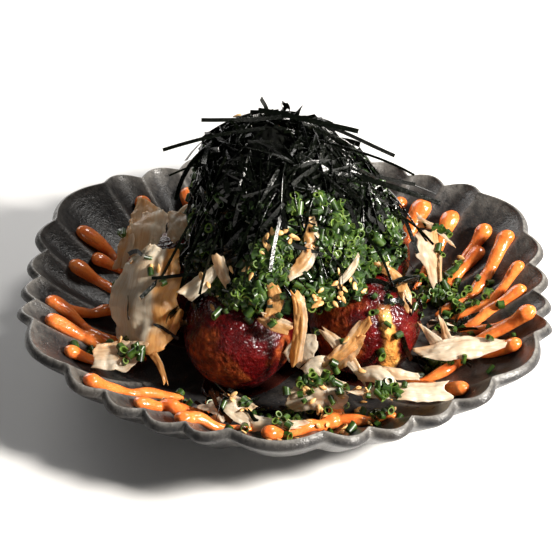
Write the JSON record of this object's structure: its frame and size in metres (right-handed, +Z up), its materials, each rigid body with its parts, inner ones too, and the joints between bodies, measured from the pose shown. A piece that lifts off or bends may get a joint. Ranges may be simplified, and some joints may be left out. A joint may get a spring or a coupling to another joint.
{
  "type": "takoyaki balls on a fluted plate",
  "caption": "Browned octopus dumplings on a scalloped hexagonal stoneware plate, heaped with chives, shredded nori and bonito flakes, with piped spicy mayonnaise.",
  "frame": {"origin": "centre of the plate's foot ring, on the table", "axes": "+Z up; -Y is the front, where two dumplings show; +X is to the right"},
  "size_m": [0.2012, 0.2116, 0.1018],
  "materials": {
    "stoneware": "charcoal glaze with a soft metallic sheen, thin and pale along the rim and the ridges",
    "dumpling": "browned batter crust under a dark sweet glaze",
    "chives": "fresh cut chives, moist",
    "nori": "dry shredded seaweed, black green with a silky gloss",
    "mayonnaise": "glossy orange piped sauce with fine red flecks",
    "bonito": "thin translucent fish shavings with a fine grain",
    "sesame": "toasted seeds",
    "sauce": "dark glossy sweet sauce"
  },
  "bodies": {
    "root": {"plate": "stoneware", "ball_front_left": "dumpling", "ball_front_right": "dumpling", "ball_left": "dumpling", "ball_back": "dumpling", "ball_right": "dumpling", "ball_top": "dumpling", "chive_heap": "chives", "nori_heap": "nori", "mayo_left": "mayonnaise", "mayo_right": "mayonnaise", "mayo_front": "mayonnaise", "flake_left_large": "bonito", "flake_left_folded": "bonito", "flake_left_flat": "bonito", "flake_front_crumpled": "bonito", "flake_front_folded": "bonito", "flake_front_long": "bonito", "flake_ball_front": "bonito", "flake_right_large": "bonito", "flake_right_back": "bonito", "flake_back": "bonito", "flake_back_right": "bonito", "flake_heap_front": "bonito"}
  },
  "joints": []
}
